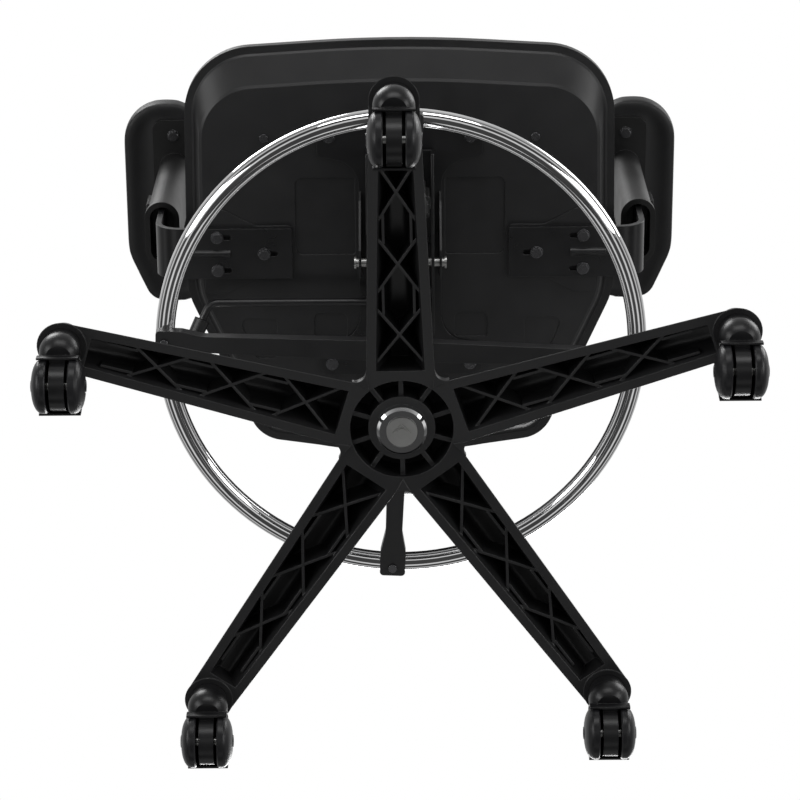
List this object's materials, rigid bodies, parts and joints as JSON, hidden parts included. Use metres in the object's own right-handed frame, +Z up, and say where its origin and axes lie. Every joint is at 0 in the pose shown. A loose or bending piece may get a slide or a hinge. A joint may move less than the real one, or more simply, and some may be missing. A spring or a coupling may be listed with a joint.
{
  "type": "drafting chair",
  "caption": "Height-adjustable drafting chair: star base on twin-wheel casters, gas column with chrome foot ring, tilting padded seat, height-adjustable arms and mesh back.",
  "frame": {"origin": "on the floor, under the axis of the gas column", "axes": "+Z up; the sitter faces -Y; +X is the sitter's left-hand side"},
  "size_m": [0.6681, 0.6705, 1.137],
  "materials": {
    "black_nylon": "moulded glass-filled nylon, fine satin",
    "caster_nylon": "moulded, polished",
    "wheel_rubber": "smooth polyurethane tread on nylon wheel",
    "chrome": "bright chrome plate",
    "steel": "zinc plated",
    "spring_steel": "oiled spring wire",
    "black_steel": "black powder coat",
    "black_screw": "black oxide",
    "knob_plastic": "moulded",
    "pan_plastic": "moulded polypropylene, fine grain",
    "seat_fabric": "black woven mesh fabric over foam",
    "arm_plastic": "moulded nylon",
    "pad_urethane": "soft polyurethane skin",
    "back_plastic": "moulded nylon",
    "back_mesh": "open black mesh"
  },
  "bodies": {
    "base": {"star_base": "black_nylon", "column_outer_tube": "chrome", "column_guide_bush": "black_nylon", "thrust_bearing": "steel"},
    "caster_1": {"caster_1_hood": "caster_nylon", "caster_1_pins": "steel"},
    "caster_1_wheel_a": {"caster_1_wheel_a": "wheel_rubber"},
    "caster_1_wheel_b": {"caster_1_wheel_b": "wheel_rubber"},
    "caster_2": {"caster_2_hood": "caster_nylon", "caster_2_pins": "steel"},
    "caster_2_wheel_a": {"caster_2_wheel_a": "wheel_rubber"},
    "caster_2_wheel_b": {"caster_2_wheel_b": "wheel_rubber"},
    "caster_3": {"caster_3_hood": "caster_nylon", "caster_3_pins": "steel"},
    "caster_3_wheel_a": {"caster_3_wheel_a": "wheel_rubber"},
    "caster_3_wheel_b": {"caster_3_wheel_b": "wheel_rubber"},
    "caster_4": {"caster_4_hood": "caster_nylon", "caster_4_pins": "steel"},
    "caster_4_wheel_a": {"caster_4_wheel_a": "wheel_rubber"},
    "caster_4_wheel_b": {"caster_4_wheel_b": "wheel_rubber"},
    "caster_5": {"caster_5_hood": "caster_nylon", "caster_5_pins": "steel"},
    "caster_5_wheel_a": {"caster_5_wheel_a": "wheel_rubber"},
    "caster_5_wheel_b": {"caster_5_wheel_b": "wheel_rubber"},
    "foot_ring": {"ring_tube": "chrome", "ring_spider": "black_nylon", "ring_screws": "black_screw"},
    "ring_knob": {"ring_knob": "knob_plastic"},
    "piston": {"piston_rod": "steel", "column_clip": "steel"},
    "lift": {"gas_cylinder": "chrome", "mech_housing": "black_steel", "mech_pivot_pin": "steel", "tilt_spring": "spring_steel"},
    "lever": {"lever_rod": "black_steel", "lever_grip": "knob_plastic"},
    "valve": {"valve_button": "steel"},
    "seat": {"seat_plate": "black_steel", "seat_bolts": "black_screw", "seat_pan": "pan_plastic", "pan_screws": "black_screw", "seat_cushion": "seat_fabric", "arm_left_bracket": "black_steel", "arm_right_bracket": "black_steel", "back_bar": "black_steel", "tension_bolt": "steel"},
    "tension_knob": {"tension_knob": "knob_plastic"},
    "arm_left": {"arm_left_sleeve": "arm_plastic", "arm_left_pad": "pad_urethane", "arm_left_pad_screws": "black_screw"},
    "arm_left_button": {"arm_left_button": "knob_plastic"},
    "arm_right": {"arm_right_sleeve": "arm_plastic", "arm_right_pad": "pad_urethane", "arm_right_pad_screws": "black_screw"},
    "arm_right_button": {"arm_right_button": "knob_plastic"},
    "backrest": {"back_frame": "back_plastic", "back_mesh": "back_mesh", "lumbar_support": "back_plastic", "back_carrier": "arm_plastic"},
    "back_knob": {"back_knob": "knob_plastic"}
  },
  "joints": [
    {"name": "caster_1_swivel", "type": "hinge", "parent": "base", "child": "caster_1", "pos_m": [-0.00511, -0.32496, 0.064], "axis": [0, 0, 1], "continuous": true},
    {"name": "caster_1_wheel_a_spin", "type": "hinge", "parent": "caster_1", "child": "caster_1_wheel_a", "pos_m": [-0.00511, -0.30096, 0.025], "axis": [1, 0, 0], "continuous": true},
    {"name": "caster_1_wheel_b_spin", "type": "hinge", "parent": "caster_1", "child": "caster_1_wheel_b", "pos_m": [-0.00511, -0.30096, 0.025], "axis": [1, 0, 0], "continuous": true},
    {"name": "caster_2_swivel", "type": "hinge", "parent": "base", "child": "caster_2", "pos_m": [0.30748, -0.10527, 0.064], "axis": [0, 0, 1], "continuous": true},
    {"name": "caster_2_wheel_a_spin", "type": "hinge", "parent": "caster_2", "child": "caster_2_wheel_a", "pos_m": [0.30748, -0.08127, 0.025], "axis": [1, 0, 0], "continuous": true},
    {"name": "caster_2_wheel_b_spin", "type": "hinge", "parent": "caster_2", "child": "caster_2_wheel_b", "pos_m": [0.30748, -0.08127, 0.025], "axis": [1, 0, 0], "continuous": true},
    {"name": "caster_3_swivel", "type": "hinge", "parent": "base", "child": "caster_3", "pos_m": [0.19514, 0.2599, 0.064], "axis": [0, 0, 1], "continuous": true},
    {"name": "caster_3_wheel_a_spin", "type": "hinge", "parent": "caster_3", "child": "caster_3_wheel_a", "pos_m": [0.19514, 0.2839, 0.025], "axis": [1, 0, 0], "continuous": true},
    {"name": "caster_3_wheel_b_spin", "type": "hinge", "parent": "caster_3", "child": "caster_3_wheel_b", "pos_m": [0.19514, 0.2839, 0.025], "axis": [1, 0, 0], "continuous": true},
    {"name": "caster_4_swivel", "type": "hinge", "parent": "base", "child": "caster_4", "pos_m": [-0.18688, 0.2659, 0.064], "axis": [0, 0, 1], "continuous": true},
    {"name": "caster_4_wheel_a_spin", "type": "hinge", "parent": "caster_4", "child": "caster_4_wheel_a", "pos_m": [-0.18688, 0.2899, 0.025], "axis": [1, 0, 0], "continuous": true},
    {"name": "caster_4_wheel_b_spin", "type": "hinge", "parent": "caster_4", "child": "caster_4_wheel_b", "pos_m": [-0.18688, 0.2899, 0.025], "axis": [1, 0, 0], "continuous": true},
    {"name": "caster_5_swivel", "type": "hinge", "parent": "base", "child": "caster_5", "pos_m": [-0.31063, -0.09556, 0.064], "axis": [0, 0, 1], "continuous": true},
    {"name": "caster_5_wheel_a_spin", "type": "hinge", "parent": "caster_5", "child": "caster_5_wheel_a", "pos_m": [-0.31063, -0.07156, 0.025], "axis": [1, 0, 0], "continuous": true},
    {"name": "caster_5_wheel_b_spin", "type": "hinge", "parent": "caster_5", "child": "caster_5_wheel_b", "pos_m": [-0.31063, -0.07156, 0.025], "axis": [1, 0, 0], "continuous": true},
    {"name": "ring_slide", "type": "slide", "parent": "base", "child": "foot_ring", "axis": [0, 0, 1], "range_m": [-0.095, 0.065]},
    {"name": "ring_knob_turn", "type": "hinge", "parent": "foot_ring", "child": "ring_knob", "pos_m": [0.00175, -0.03996, 0.3395], "axis": [0.0436, -0.999, 0], "range_deg": [0, 360]},
    {"name": "column_swivel", "type": "hinge", "parent": "base", "child": "piston", "pos_m": [0, 0, 0.087], "axis": [0, 0, 1], "continuous": true},
    {"name": "column_lift", "type": "slide", "parent": "piston", "child": "lift", "axis": [0, 0, 1], "range_m": [0, 0.215]},
    {"name": "lever_lift", "type": "hinge", "parent": "lift", "child": "lever", "pos_m": [-0.028, 0.018, 0.5114], "axis": [0, 1, 0], "range_deg": [0, 3.6], "stiffness_Nm_per_rad": 4, "springref_deg": -2.86},
    {"name": "valve_press", "type": "slide", "parent": "lift", "child": "valve", "axis": [0, 0, -1], "range_m": [0, 0.0022]},
    {"name": "seat_tilt", "type": "hinge", "parent": "lift", "child": "seat", "pos_m": [0, -0.03, 0.5], "axis": [-1, 0, 0], "range_deg": [0, 12], "stiffness_Nm_per_rad": 150, "springref_deg": -14.32, "deforming": ["tilt_spring"]},
    {"name": "tension_knob_turn", "type": "hinge", "parent": "seat", "child": "tension_knob", "pos_m": [0, -0.11, 0.473], "axis": [0, 0, 1], "range_deg": [0, 720]},
    {"name": "arm_left_height", "type": "slide", "parent": "seat", "child": "arm_left", "axis": [0, 0, 1], "range_m": [0, 0.06]},
    {"name": "arm_left_button_press", "type": "slide", "parent": "arm_left", "child": "arm_left_button", "axis": [-1, 0, 0], "range_m": [0, 0.0035], "stiffness_N_per_m": 400, "springref_m": -0.002},
    {"name": "arm_right_height", "type": "slide", "parent": "seat", "child": "arm_right", "axis": [0, 0, 1], "range_m": [0, 0.06]},
    {"name": "arm_right_button_press", "type": "slide", "parent": "arm_right", "child": "arm_right_button", "axis": [1, 0, 0], "range_m": [0, 0.0035], "stiffness_N_per_m": 400, "springref_m": -0.002},
    {"name": "back_height", "type": "slide", "parent": "seat", "child": "backrest", "axis": [0, 0.1219, 0.9925], "range_m": [0, 0.055]},
    {"name": "back_knob_turn", "type": "hinge", "parent": "backrest", "child": "back_knob", "pos_m": [0, 0.2811, 0.74047], "axis": [0, 0.9925, -0.1219], "range_deg": [0, 360]}
  ],
  "couplings": [
    {"joint": "valve_press", "follows": "lever_lift", "m_per_rad": 0.0345}
  ]
}
